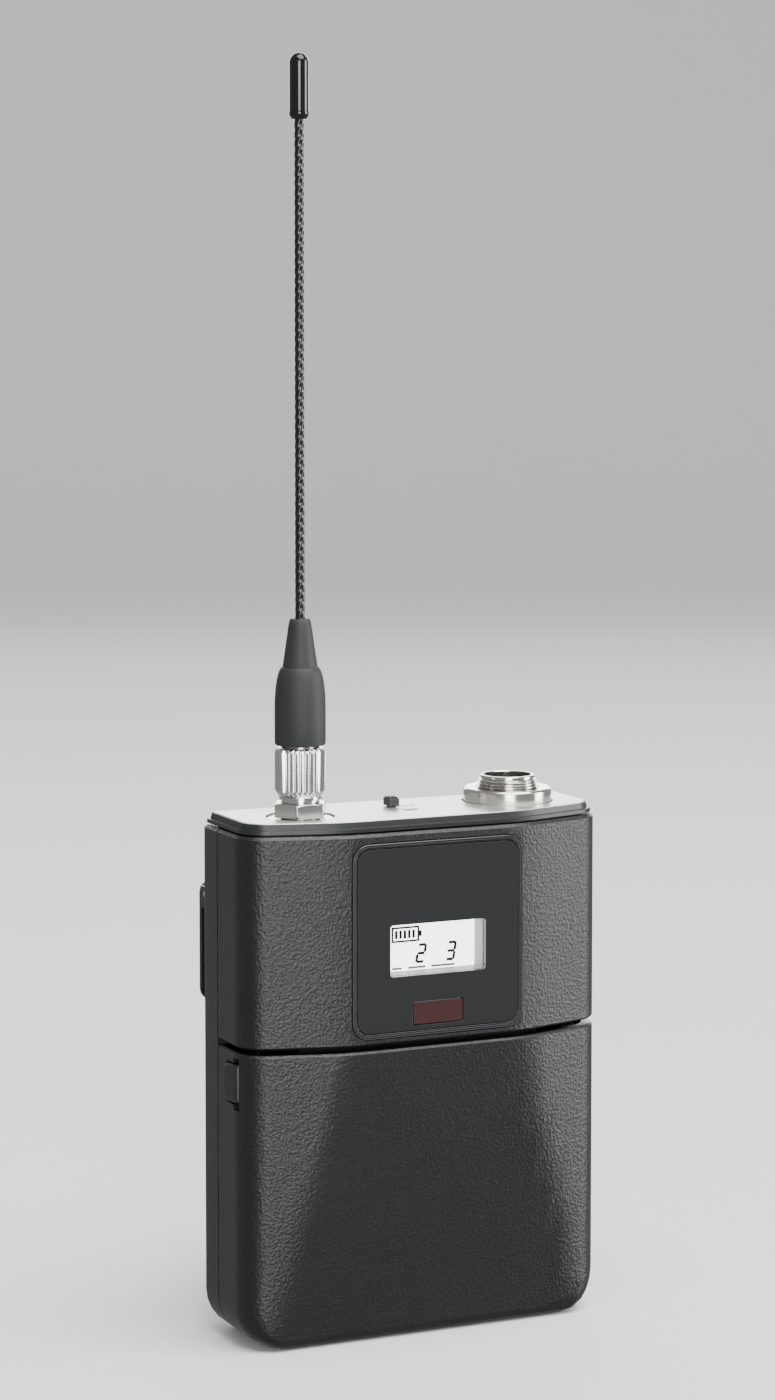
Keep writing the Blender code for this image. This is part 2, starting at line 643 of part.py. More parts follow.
def antenna():
    """Jack and its nut in the plate, the knurled coupling nut, ferrule, rubber boot, whip and end cap."""
    x, y = ANTENNA_AT
    jack = ((1.2, 78.0), (3.2, 78.0), (3.2, LID_LEDGE), (5.3, LID_LEDGE), (5.3, 85.75), (3.1, 85.75))
    jack += ((3.1, 92.6), (1.2, 92.6))
    make("antenna_jack", turned(jack, ANTENNA_AT), NICKEL)
    nut = make("antenna_jack_nut", cylinder(4.55, "Z", CASE_HEIGHT, 88.3, x, y, 6), NICKEL)
    cut(nut, cylinder(3.25, "Z", CASE_HEIGHT - PAST, 90, x, y))
    make("antenna_coupling_nut", knurled_nut(), NICKEL, (x, y, 93.0))
    ferrule = ((0, 93.0), (2.6, 93.0), (2.6, 101.8), (0.95, 101.8), (0.95, 99.5), (0, 99.5))
    make("antenna_ferrule", turned(ferrule, ANTENNA_AT, 24), NICKEL)
    make("antenna_boot", turned(boot_profile(), ANTENNA_AT, 28), RUBBER)
    make("antenna_whip", cylinder(WHIP_RADIUS, "Z", 100.0, 202.0, x, y, 16), RUBBER)
    make("antenna_end_cap", turned(cap_profile(), ANTENNA_AT, 20), PLASTIC)


def boot_profile():
    """The boot's half section: a skirt over the ferrule, a round shoulder and a long taper to the whip."""
    skirt = [(2.8, 97.6), (3.8, 97.6), (BOOT_RADIUS, 98.0), (BOOT_RADIUS, BOOT_SHOULDER)]
    shoulder = [
        (BOOT_RADIUS - 1.3 * (1 - math.cos(a)), BOOT_SHOULDER + 6.7 * math.sin(a))
        for a in fractions(4, math.pi / 2)[1:]
    ]
    return skirt + shoulder + [(1.7, 118.1), (0.95, 118.1), (0.95, 102.3), (2.8, 102.3)]


def cap_profile():
    """The end cap's half section: a sleeve with a small collar and a round dome."""
    dome = [
        (TIP_RADIUS * math.cos(a), ANTENNA_TOP - TIP_RADIUS + TIP_RADIUS * math.sin(a))
        for a in fractions(5, math.pi / 2)[:-1]
    ]
    sleeve = [(0.95, 198.1), (1.65, 198.1), (TIP_RADIUS, 199.2)]
    return sleeve + dome + [(0, ANTENNA_TOP), (0, 202.6), (0.95, 202.6)]


def input_socket():
    """Threaded shell with a cup, the ring nut on the plate, the insulator and four contact pins."""
    x, y = SOCKET_AT
    shell = (
        (CUP_RADIUS, 75.5),
        (THREAD_RADIUS, 75.5),
        (THREAD_RADIUS, 81.0),
        (6.2, 81.0),
        (6.2, 82.9),
        (THREAD_RADIUS, 82.9),
        (THREAD_RADIUS, SOCKET_TOP - 0.9),
        (4.6, SOCKET_TOP - 0.4),
        (4.5, SOCKET_TOP),
        (CUP_RADIUS, SOCKET_TOP),
    )
    make("input_socket_shell", turned(shell, SOCKET_AT, 40), NICKEL)
    nut = ((5.35, 85.0), (7.35, 85.0), (7.35, 87.9), (7.1, 88.2), (5.35, 88.2))
    make("input_socket_nut", turned(nut, SOCKET_AT, 40), NICKEL)
    insulator = make("input_socket_insulator", cylinder(CUP_RADIUS - FIT, "Z", 76.5, 79.5, x, y, 32), PLASTIC)
    for index in range(4):
        angle = math.radians(45 + 90 * index)
        px = x + PIN_CIRCLE * math.cos(angle)
        py = y + PIN_CIRCLE * math.sin(angle)
        cut(insulator, cylinder(0.6, "Z", 75, 82, px, py, 12))
        pin = ((0, 74.5), (0.48, 74.5), (0.48, 84.6), (0.3, 85.0), (0, 85.0))
        make(f"input_pin_{index + 1}", turned(pin, (px, py), 12), GOLD)


def battery_bay():
    """The tray with two cradles across the case, two cells, and a spring and a plate for each cell."""
    tray = make("battery_tray", prism(tray_outline(), "Y", *TRAY_Y), PLASTIC)
    reach = CELL_RADIUS + CRADLE_GAP
    inner = (-TRAY_INNER_HALF, TRAY_INNER_HALF)
    for z in CELL_Z:
        cut(tray, prism(circle(reach, 40, CELL_Y, z), "X", *inner))
        cut(tray, box(inner, (TRAY_Y[0] - PAST, CELL_Y), (z - reach, z + reach)))
    for name, z, side in (("lower", CELL_Z[0], 1), ("upper", CELL_Z[1], -1)):
        battery_cell(f"battery_cell_{name}", z, side)
        contact_spring(f"contact_spring_{name}", z, -side)
        plate = box(span(side, 27.95, 28.35), (CELL_Y - 4, CELL_Y + 4), (z - 4, z + 4))
        make(f"contact_plate_{name}", plate, NICKEL)


def tray_outline():
    """The tray's front view: a rectangle with its lower corners cut off, clear of the opening door."""
    low, high = TRAY_Z
    foot = TRAY_HALF - TRAY_CHAMFER
    right = [(foot, low), (TRAY_HALF, low + TRAY_CHAMFER), (TRAY_HALF, high)]
    return right + [(-x, z) for x, z in reversed(right)]


def battery_cell(name, z, side):
    """A round AA-size cell lying across the case, with its raised positive end at the given side."""
    length = ((0.0, -24.2), (6.4, -24.2), (CELL_RADIUS, -23.6), (CELL_RADIUS, 24.4), (6.6, 24.9))
    length += ((2.7, 24.9), (2.7, CELL_LENGTH - 24.2 - 0.2), (2.5, CELL_LENGTH - 24.2), (0.0, 26.3))
    bm = turned(length, (0, 0), 32)
    bmesh.ops.rotate(bm, verts=bm.verts, matrix=Matrix.Rotation(side * math.pi / 2, 3, "Y"))
    bmesh.ops.translate(bm, verts=bm.verts, vec=(side * 1.2, CELL_Y, z))
    make(name, bm, CELL_SKIN)


def contact_spring(name, z, side):
    """A conical wire coil that presses on a cell's flat end."""
    per_turn = 12
    count = int(SPRING_TURNS * per_turn)
    curve = bpy.data.curves.new(name, "CURVE")
    curve.dimensions = "3D"
    curve.bevel_depth = SPRING_WIRE * MM
    curve.bevel_resolution = 1
    curve.use_fill_caps = True
    spline = curve.splines.new("POLY")
    spline.points.add(count)
    for index in range(count + 1):
        share = index / count
        angle = 2 * math.pi * SPRING_TURNS * share
        radius = SPRING_RADII[0] + (SPRING_RADII[1] - SPRING_RADII[0]) * share
        x = side * (SPRING_X[0] + (SPRING_X[1] - SPRING_X[0]) * share)
        y = CELL_Y + radius * math.cos(angle)
        spline.points[index].co = (x * MM, y * MM, (z + radius * math.sin(angle)) * MM, 1)
    curve.materials.append(material(*NICKEL))
    obj = bpy.data.objects.new(name, curve)
    bpy.context.collection.objects.link(obj)


def controls():
    """The deck above the cells with two menu buttons and the small board they press on."""
    deck = make("control_deck", box((-21.5, 21.5), (-4.4, 3.2), (36.2, 48.6)), PLASTIC)
    cut(deck, box((-20.3, 20.3), (-3.0, 6.0), (37.4, 47.4)))
    for name, x in (("menu_button", -BUTTON_X), ("enter_button", BUTTON_X)):
        opening = rounded(3.45, BUTTON_Z - 2.05, BUTTON_Z + 2.05, 1.2, 3, x)
        cut(deck, prism(opening, "Y", -8, 0))
        face = rounded(3.2, BUTTON_Z - 1.8, BUTTON_Z + 1.8, 1.0, 3, x)
        button = make(name, prism(face, "Y", -5.3, -2.0), RUBBER, (x, -5.3, BUTTON_Z))
        add(button, box((x - 4.2, x + 4.2), (-2.65, -1.8), (BUTTON_Z - 2.8, BUTTON_Z + 2.8)))
    board = make("button_board", box((-19.8, 19.8), (0.4, 1.4), (37.8, 47.0)), BOARD)
    for x in (-BUTTON_X, BUTTON_X):
        add(board, box((x - 2.2, x + 2.2), (-1.1, 0.8), (BUTTON_Z - 2.2, BUTTON_Z + 2.2)))


def case_screws():
    """Four cross-recessed screws from the back into the front casing."""
    for index, (x, z) in enumerate(SCREW_AT):
        shank = cylinder(1.0, "Y", SEAM_Y - 6.5, REAR_Y - 0.3, x, z, 12)
        screw = make(f"case_screw_{index + 1}", shank, STEEL, (x, REAR_Y, z))
        add(screw, cylinder(SCREW_HEAD, "Y", REAR_Y - 0.6, REAR_Y - 0.05, x, z, 20))
        for half_x, half_z in (SCREW_SLOT, SCREW_SLOT[::-1]):
            recess_y = (REAR_Y - 0.4, REAR_Y + 1)
            cut(screw, box((x - half_x, x + half_x), recess_y, (z - half_z, z + half_z)))


def clip_profile():
    """The tongue's inner side line from the band down to the lip, as (y, z), with a bow that takes a belt."""
    points = [(CLIP_INNER_Y, CLIP_BAND[0] + 3.0), (CLIP_INNER_Y, CLIP_BAND[0] + 0.5)]
    for share in fractions(5, 1.0)[1:]:
        ease = (1 - math.cos(math.pi * share)) / 2
        out = (CLIP_BOW_Y - CLIP_INNER_Y) * ease
        points.append((CLIP_INNER_Y + out, CLIP_BAND[0] - 6.0 * share))
    for share in fractions(8, 1.0)[1:]:
        ease = (1 - math.cos(math.pi * share)) / 2
        points.append((CLIP_BOW_Y - 4.3 * ease, 35.0 - 17.0 * share))
    for angle in fractions(4, math.radians(55))[1:]:
        points.append((12.2 + 4.0 * (1 - math.cos(angle)), 18.0 - 4.0 * math.sin(angle)))
    return points


def belt_clip():
    """The spring-steel clip: a full-width band with end ears on two pivots, and a bowed tongue."""
    inner = clip_profile()
    outline = list(inner)
    for index in range(len(inner) - 1, -1, -1):
        before = Vector(inner[max(index - 1, 0)])
        after = Vector(inner[min(index + 1, len(inner) - 1)])
        run = (after - before).normalized()
        outline.append((inner[index][0] - run.y * CLIP_THICK, inner[index][1] + run.x * CLIP_THICK))
    origin = (0.0, *CLIP_AXIS)
    clip = make("belt_clip", prism(outline, "X", -CLIP_TONGUE_HALF, CLIP_TONGUE_HALF), STEEL, origin)
    band = prism(rounded(CLIP_HALF, *CLIP_BAND, 2.0), "Y", CLIP_INNER_Y, CLIP_INNER_Y + CLIP_THICK)
    add(clip, band)
    for side in (-1, 1):
        ear = span(side, CLIP_HALF - CLIP_THICK, CLIP_HALF)
        add(clip, box(ear, (11.95, CLIP_INNER_Y + 0.5), (69.6, 73.2)))
        cut(clip, cylinder(CLIP_HOLE, "X", *span(side, 29.5, 33.0), *CLIP_AXIS, 16))
        name = "clip_pivot_left" if side < 0 else "clip_pivot_right"
        pin = cylinder(CLIP_PIN, "X", *span(side, 26.2, 31.3), *CLIP_AXIS, 16)
        make(name, pin, NICKEL)


def small_pieces():
    """The hinge pin and the blank rating label."""
    pin = cylinder(PIN_RADIUS, "X", -23.9, 23.9, HINGE_Y, HINGE_Z, 20)
    make("door_hinge_pin", pin, NICKEL, (0.0, HINGE_Y, HINGE_Z))
    label = prism(rounded(LABEL_HALF, *LABEL_Z, 1.2, 3), "Y", REAR_Y - 0.35, REAR_Y - 0.05)
    make("rating_label", label, LABEL)


def main():
    clear_scene()
    front_case()
    rear_case()
    door = battery_door()
    door_latch("door_latch_left", -1, door)
    door_latch("door_latch_right", 1, door)
    top_frame()
    top_plate()
    display()
    electronics()
    power_switch()
    antenna()
    input_socket()
    battery_bay()
    controls()
    case_screws()
    belt_clip()
    small_pieces()


main()
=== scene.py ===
# %% [markdown]
# # Wireless bodypack transmitter
# A bodypack is the small radio that a speaker wears on a belt. This lesson dresses its working
# model: a painted die-cast case, a satin metal lid with an aerial and a microphone socket, a
# small display and a hinged battery door. The working model already fixes every size and every
# joint, so each piece here is placed from that model's own boxes and rides on one of its bodies.

# %% Load the working model
import json
import math

import bmesh
import bpy
from mathutils import Matrix, Vector

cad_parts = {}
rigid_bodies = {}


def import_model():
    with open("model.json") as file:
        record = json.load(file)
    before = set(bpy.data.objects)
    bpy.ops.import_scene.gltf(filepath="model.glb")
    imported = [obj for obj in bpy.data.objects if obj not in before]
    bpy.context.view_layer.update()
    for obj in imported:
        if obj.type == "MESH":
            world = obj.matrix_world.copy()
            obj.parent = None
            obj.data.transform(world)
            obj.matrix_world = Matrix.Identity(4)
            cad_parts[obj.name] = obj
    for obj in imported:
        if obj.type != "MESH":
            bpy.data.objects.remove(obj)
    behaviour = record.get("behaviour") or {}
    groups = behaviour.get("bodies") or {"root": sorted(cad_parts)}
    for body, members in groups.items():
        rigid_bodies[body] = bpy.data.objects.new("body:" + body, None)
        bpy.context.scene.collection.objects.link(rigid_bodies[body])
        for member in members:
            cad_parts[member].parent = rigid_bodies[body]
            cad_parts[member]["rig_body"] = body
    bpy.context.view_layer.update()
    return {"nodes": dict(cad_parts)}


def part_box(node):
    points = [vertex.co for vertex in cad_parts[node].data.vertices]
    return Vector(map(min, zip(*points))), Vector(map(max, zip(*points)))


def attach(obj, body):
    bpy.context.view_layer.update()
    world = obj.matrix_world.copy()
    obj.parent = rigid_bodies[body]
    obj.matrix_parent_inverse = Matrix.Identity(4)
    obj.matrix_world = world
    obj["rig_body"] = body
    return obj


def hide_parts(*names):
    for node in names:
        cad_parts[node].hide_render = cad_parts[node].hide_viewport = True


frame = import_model()

# %% [markdown]
# Small products are drawn in millimetres, while Blender works in metres. All the pieces below
# are built in millimetres and shrunk once, when they are finished.

# %% Read a node's box in millimetres
MM = 0.001


def box_mm(node):
    """The lowest and highest corner of a node of the working model, in millimetres."""
    low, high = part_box(node)
    return low / MM, high / MM


def middle_mm(node):
    """The middle of a node's box, in millimetres."""
    low, high = box_mm(node)
    return (low + high) / 2


case_low, case_high = box_mm("rear_case")
print("the case is", round(case_high.x - case_low.x, 1), "mm wide and", round(case_high.z, 1), "mm high")

# %% [markdown]
# ## Finishes
# Colours are picked as sRGB hex values, as in any paint program. Blender's shaders count in
# linear light, so one function turns the first into the second.

# %% Turn a colour to linear light
def linear(colour):
    """The linear colour of a six-figure sRGB hex value."""
    channels = [int(colour[at : at + 2], 16) / 255 for at in (0, 2, 4)]
    light = [c / 12.92 if c <= 0.04045 else ((c + 0.055) / 1.055) ** 2.4 for c in channels]
    return (*light, 1.0)


print("mid grey 808080 is", round(linear("808080")[0], 3), "in linear light")

# %% [markdown]
# A finish is a small network of nodes. Each node is added with its settings, and each of its
# inputs gets either a plain value or the output of an earlier node.

# %% Add one node with its settings and links
def add_node(tree, kind, inputs=None, **settings):
    """Adds a node; a socket given as an input is linked and anything else is set as its value."""
    node = tree.nodes.new(kind)
    for setting, value in settings.items():
        setattr(node, setting, value)
    for name, value in (inputs or {}).items():
        if isinstance(value, bpy.types.NodeSocket):
            tree.links.new(value, node.inputs[name])
        else:
            node.inputs[name].default_value = value
    return node


def start_finish(name, colour, roughness, metallic=0.0, **values):
    """A material with its plain values set, and what a pattern needs: tree, shader, coordinates."""
    finish = bpy.data.materials.new(name)
    finish.use_nodes = True
    tree = finish.node_tree
    shader = tree.nodes["Principled BSDF"]
    shader.inputs["Base Color"].default_value = linear(colour)
    shader.inputs["Roughness"].default_value = roughness
    shader.inputs["Metallic"].default_value = metallic
    for socket, value in values.items():
        shader.inputs[socket.replace("_", " ")].default_value = value
    place = add_node(tree, "ShaderNodeTexCoord").outputs["Object"]
    return finish, tree, shader, place


# %% [markdown]
# The case is magnesium alloy, die cast and sprayed with a textured enamel. The spray dries into
# tiny raised islands with soft valleys, which is why the black never looks flat: each island
# catches a small highlight. Voronoi cells give the islands and a finer noise roughens them.
# The real islands are about 0.3 mm wide. They are drawn at 0.5 mm, which is as small as still shows.

# %% Textured enamel on die-cast magnesium
ISLAND = 0.5 * MM
ISLAND_RISE = 0.07 * MM
DUST = 0.16 * MM


def textured_enamel(name, colour, lighter, roughness):
    """Sprayed enamel: raised islands with a finer dust on them, and faint darker patches."""
    finish, tree, shader, place = start_finish(name, colour, roughness, IOR=1.5)
    cells = add_node(tree, "ShaderNodeTexVoronoi", {"Vector": place, "Scale": 1 / ISLAND})
    dust = add_node(tree, "ShaderNodeTexNoise", {"Vector": place, "Scale": 1 / DUST, "Detail": 3.0})
    height = add_node(
        tree, "ShaderNodeMath", {0: cells.outputs["Distance"], 1: dust.outputs["Fac"]}, operation="ADD"
    )
    bump = add_node(
        tree, "ShaderNodeBump", {"Strength": 0.8, "Distance": ISLAND_RISE, "Height": height.outputs[0]}
    )
    patches = add_node(tree, "ShaderNodeTexNoise", {"Vector": place, "Scale": 90.0, "Detail": 5.0})
    shade = add_node(
        tree,
        "ShaderNodeMix",
        {0: patches.outputs["Fac"], 6: linear(colour), 7: linear(lighter)},
        data_type="RGBA",
    )
    sheen = add_node(
        tree,
        "ShaderNodeMapRange",
        {"Value": dust.outputs["Fac"], "To Min": roughness - 0.06, "To Max": roughness + 0.08},
    )
    tree.links.new(shade.outputs[2], shader.inputs["Base Color"])
    tree.links.new(sheen.outputs["Result"], shader.inputs["Roughness"])
    tree.links.new(bump.outputs["Normal"], shader.inputs["Normal"])
    return finish


case_enamel = textured_enamel("textured enamel on die-cast magnesium", "0c0d0d", "151516", 0.33)
print("enamel islands are", round(ISLAND / MM, 2), "mm wide")

# %% [markdown]
# Most of the small black and grey parts are injection-moulded plastic. The mould is spark
# eroded, so the skin carries a very fine pebble that spreads the highlights a little.

# %% Moulded plastics
PEBBLE = 0.25 * MM


def moulded(name, colour, roughness, depth=0.02, pebble=PEBBLE, **values):
    """Moulded plastic or rubber with a fine eroded skin; depth is the pebble's height in mm."""
    finish, tree, shader, place = start_finish(name, colour, roughness, **values)
    skin = add_node(tree, "ShaderNodeTexNoise", {"Vector": place, "Scale": 1 / pebble, "Detail": 4.0})
    bump = add_node(
        tree, "ShaderNodeBump", {"Strength": 0.4, "Distance": depth * MM, "Height": skin.outputs["Fac"]}
    )
    sheen = add_node(
        tree,
        "ShaderNodeMapRange",
        {"Value": skin.outputs["Fac"], "To Min": roughness - 0.05, "To Max": roughness + 0.05},
    )
    tree.links.new(sheen.outputs["Result"], shader.inputs["Roughness"])
    tree.links.new(bump.outputs["Normal"], shader.inputs["Normal"])
    return finish


frame_nylon = moulded("glass-filled nylon, moulded", "1a1b1c", 0.38, IOR=1.53)
latch_nylon = moulded("nylon with a ground finish, moulded", "191a1b", 0.34, IOR=1.53)
bezel_plastic = moulded("ABS with an eroded skin, moulded", "333436", 0.24, depth=0.02, IOR=1.54)
inner_plastic = moulded("polycarbonate, moulded black", "202122", 0.45, IOR=1.58)
recess_plastic = moulded("polycarbonate, moulded grey", "8d8f91", 0.5, IOR=1.58)
lever_plastic = moulded("acetal, moulded dark grey", "2c2d2f", 0.4, IOR=1.48)
cap_plastic = moulded("polypropylene, gloss moulded", "0c0c0d", 0.12, depth=0.004, IOR=1.49)
sleeve_plastic = moulded("polyurethane jacket, extruded", "0f0f10", 0.24, depth=0.006, IOR=1.5)
boot_rubber = moulded("TPE rubber, moulded matt", "202122", 0.62, depth=0.03, IOR=1.5)
key_rubber = moulded("silicone rubber, moulded", "2e2f31", 0.6, depth=0.02, IOR=1.41)
print("made", len(bpy.data.materials), "finishes so far")

# %% [markdown]
# Plated brass is the bright metal of connectors. Nickel leaves the lathe's fine turning marks
# visible, so a little noise stretched round the part breaks up the mirror. The lid is a satin
# sheet, bead blasted before it is anodised: a fine even speckle with a soft broad shine.

# %% Nickel plate, blasted plate, gold and steel
SPECKLE = 0.3


def metal(name, colour, roughness, grit, depth, stretch=(1.0, 1.0, 1.0), spread=0.06):
    """Bare or plated metal; grit is the width of its surface marks and depth their height, in mm."""
    finish, tree, shader, place = start_finish(name, colour, roughness, metallic=1.0)
    turned = add_node(tree, "ShaderNodeMapping", {"Vector": place, "Scale": stretch})
    marks = add_node(
        tree, "ShaderNodeTexNoise", {"Vector": turned.outputs[0], "Scale": 1 / (grit * MM), "Detail": 3.0}
    )
    bump = add_node(
        tree, "ShaderNodeBump", {"Strength": 0.35, "Distance": depth * MM, "Height": marks.outputs["Fac"]}
    )
    sheen = add_node(
        tree,
        "ShaderNodeMapRange",
        {"Value": marks.outputs["Fac"], "To Min": roughness - spread, "To Max": roughness + spread},
    )
    tree.links.new(sheen.outputs["Result"], shader.inputs["Roughness"])
    tree.links.new(bump.outputs["Normal"], shader.inputs["Normal"])
    return finish


bright_nickel = metal("brass, nickel plated bright", "d2d0cb", 0.16, 0.3, 0.004, (0.15, 0.15, 1.0))
satin_nickel = metal("steel, nickel plated satin", "c3c2bf", 0.3, 0.25, 0.01)
blasted_plate = metal(
    "aluminium, bead blasted and clear anodised", "e2e2e0", 0.42, SPECKLE, 0.03, spread=0.1
)
gold_plate = metal("brass, gold plated", "e0b050", 0.2, 0.2, 0.004)
spring_steel = metal("spring steel, nickel plated", "bdbbb6", 0.25, 0.3, 0.005)
print("the lid's speckle is", SPECKLE, "mm wide")

# %% [markdown]
# The belt clip and the screws are steel with a black oxide and wax finish, a thin film that
# stays slightly metallic and shows paler where it rubs.

# %% Black-oxide steel
def black_oxide(name, colour, worn):
    """Oxide-blacked steel with faint paler cloudy wear."""
    finish, tree, shader, place = start_finish(name, colour, 0.4, metallic=0.35)
    clouds = add_node(tree, "ShaderNodeTexNoise", {"Vector": place, "Scale": 160.0, "Detail": 6.0})
    shade = add_node(
        tree,
        "ShaderNodeMix",
        {0: clouds.outputs["Fac"], 6: linear(colour), 7: linear(worn)},
        data_type="RGBA",
    )
    grain = add_node(tree, "ShaderNodeTexNoise", {"Vector": place, "Scale": 1 / (0.2 * MM), "Detail": 3.0})
    bump = add_node(
        tree, "ShaderNodeBump", {"Strength": 0.4, "Distance": 0.02 * MM, "Height": grain.outputs["Fac"]}
    )
    tree.links.new(shade.outputs[2], shader.inputs["Base Color"])
    tree.links.new(bump.outputs["Normal"], shader.inputs["Normal"])
    return finish


oxide_steel = black_oxide("steel, black oxide", "191a1c", "2b2c2e")
print("made", oxide_steel.name)

# %% [markdown]
# The display is a stack: a dark hard-coated panel with a clear acrylic window, a dark red filter
# for infrared below it, and the pale reflective glass of a liquid-crystal display. The glass
# is given a painted glow: an emission that stands in for the light its reflector gathers, which
# a plain surface in so deep a recess would lose, and keeps the display the palest thing on the front.

# %% Panel, windows and display glass
panel_sheet = moulded("polycarbonate sheet, hard coated", "1c1d1e", 0.3, depth=0.004, IOR=1.5)
infrared_filter = moulded("acrylic, dyed infrared red", "33191a", 0.3, depth=0.003, IOR=1.49)
lens_plastic = moulded("epoxy lens, smoked", "18191a", 0.15, depth=0.003, IOR=1.53)
WINDOW_TINT = 0.08
window_acrylic = moulded(
    "acrylic sheet, clear", "101111", 0.06, depth=0.001, IOR=1.49, Alpha=WINDOW_TINT
)
display_glass_painted_glow = moulded("glass with a pale reflector and a painted glow", "eceee9", 0.25, depth=0.002, IOR=1.52)
painted_glow_shader = display_glass_painted_glow.node_tree.nodes["Principled BSDF"]
# Painted glow: this emission stands in for light reflected by the display, which is no lamp.
painted_glow_shader.inputs["Emission Color"].default_value = linear("f2f3ee")
painted_glow_shader.inputs["Emission Strength"].default_value = 5.0
display_ink = moulded("liquid crystal, dark state", "050606", 0.5, depth=0.002, IOR=1.4)
display_ghost = moulded("liquid crystal, pale state", "6b6e6d", 0.5, depth=0.002, IOR=1.5)
print("the window lets through", round(100 * (1 - WINDOW_TINT)), "percent of the light")

# %% [markdown]
# Circuit boards are glass cloth in epoxy under a green solder mask. Two crossed brick patterns
# hint at the copper tracks under the mask. Boards are only seen through gaps, so that is enough.

# %% Solder mask, cell jacket and label
def solder_mask(name, colour, copper):
    """Green mask over a net of tracks 0.5 mm wide."""
    finish, tree, shader, place = start_finish(name, colour, 0.3, IOR=1.5)
    flat = add_node(
        tree, "ShaderNodeMapping", {"Vector": place, "Rotation": (math.pi / 2, 0.0, 0.0)}
    )
    tracks = add_node(
        tree,
        "ShaderNodeTexBrick",
        {
            "Vector": flat.outputs[0],
            "Color1": linear(colour),
            "Color2": linear(colour),
            "Mortar": linear(copper),
            "Scale": 1.0,
            "Mortar Size": 0.25 * MM,
            "Brick Width": 5.0 * MM,
            "Row Height": 2.2 * MM,
        },
    )
    tree.links.new(tracks.outputs["Color"], shader.inputs["Base Color"])
    return finish


board_mask = solder_mask("glass epoxy, green solder mask", "0f3d26", "2c6b42")
jacket_dark = moulded("PVC shrink jacket, dark", "1c1d22", 0.28, depth=0.004, IOR=1.53)
jacket_band = moulded("PVC shrink jacket, copper colour", "a8632f", 0.26, depth=0.004, metallic=0.5)
label_film = moulded("polyester label film, blank silver", "a9aaab", 0.45, depth=0.006, metallic=0.35)
print("made", len(bpy.data.materials), "finishes in all")

# %% [markdown]
# ## From the working model to finished pieces
# Every finished piece ends the same way. It is shrunk to metres, its faces are turned outwards,
# and it is told which node of the working model it stands for, and so which body it rides on.
# A narrow bevel on its sharp edges is what catches the light on real moulded and cast parts, and
# weighted normals keep the flat faces beside a bevel looking flat.

# %% Finish a piece
def finish_piece(name, bm, finishes, node, edge=0.0, hide=True, segments=2, angle=30.0):
    """Makes an object of the mesh, riding with the node; edge is the bevel's width in mm."""
    bmesh.ops.scale(bm, vec=(MM, MM, MM), verts=bm.verts)
    bmesh.ops.remove_doubles(bm, verts=bm.verts, dist=0.0005 * MM)
    bmesh.ops.recalc_face_normals(bm, faces=bm.faces)
    for face in bm.faces:
        face.smooth = True
    for side in bm.edges:
        side.smooth = side.calc_face_angle(0.0) < math.radians(angle)
    mesh = bpy.data.meshes.new(name)
    bm.to_mesh(mesh)
    bm.free()
    piece = bpy.data.objects.new(name, mesh)
    bpy.context.scene.collection.objects.link(piece)
    for finish in finishes if isinstance(finishes, list) else [finishes]:
        mesh.materials.append(finish)
    if edge:
        bevel = piece.modifiers.new("edge", "BEVEL")
        bevel.width = edge * MM
        bevel.segments = segments
        bevel.limit_method = "ANGLE"
        bevel.angle_limit = math.radians(angle)
        shading = piece.modifiers.new("flat faces", "WEIGHTED_NORMAL")
        shading.mode = "FACE_AREA"
    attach(piece, frame["nodes"][node]["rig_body"])
    if hide:
        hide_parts(node)
    print(name, "has", len(mesh.polygons), "faces")
    return piece


# %% [markdown]
# A casting keeps the exact shape of its node. The working model's meshes are loose triangles, so
# a copy is merged and its flat faces are dissolved into whole ones before the edges are bevelled.

# %% Copy a node as a casting
def casting(node, finish, edge, angle=30.0, segments=2):
    """A merged copy of a node with softened edges, shown in its place."""
    bm = bmesh.new()
    bm.from_mesh(frame["nodes"][node].data)
    bmesh.ops.scale(bm, vec=(1 / MM, 1 / MM, 1 / MM), verts=bm.verts)
    bmesh.ops.remove_doubles(bm, verts=bm.verts, dist=0.002)
    bmesh.ops.dissolve_limit(bm, angle_limit=math.radians(0.6), verts=bm.verts, edges=bm.edges)
    return finish_piece(node + "_skin", bm, finish, node, edge, angle=angle, segments=segments)


CASE_EDGE = 0.3
casting("front_case", case_enamel, CASE_EDGE)
casting("rear_case", case_enamel, CASE_EDGE)
casting("battery_door", case_enamel, CASE_EDGE)

# %% [markdown]
# The lid is a nylon frame with the satin plate sunk into it. The frame's two thin steps run all
# round and read as fine dark and light lines. The latches of the door are separate tabs at the sides.

# %% Lid and latches
casting("top_frame", frame_nylon, 0.1)
casting("top_plate", blasted_plate, 0.12)
casting("door_latch_left", latch_nylon, 0.35)
casting("door_latch_right", latch_nylon, 0.35)

# %% [markdown]
# The ring round the display has a rounded-rectangle outline with two fine grooves. It starts as
# one flat face whose corners are bevelled, and each step is an inset that also rises or sinks.
# The last inset's face is deleted, and a bridge joins the ring's front to its back.

# %% Display ring
def rounded_face(bm, low, high, y, corner, segments=10):
    """One flat rounded rectangle facing the front, between two corners given as (x, z)."""
    spots = ((low[0], low[1]), (high[0], low[1]), (high[0], high[1]), (low[0], high[1]))
    corners = [bm.verts.new((x, y, z)) for x, z in spots]
    bm.faces.new(corners)
    bmesh.ops.bevel(
        bm,
        geom=corners,
        offset=corner,
        offset_type="OFFSET",
        affect="VERTICES",
        segments=segments,
        profile=0.5,
        material=-1,
    )
    bm.normal_update()
    return [max(bm.faces, key=lambda face: face.calc_area())]


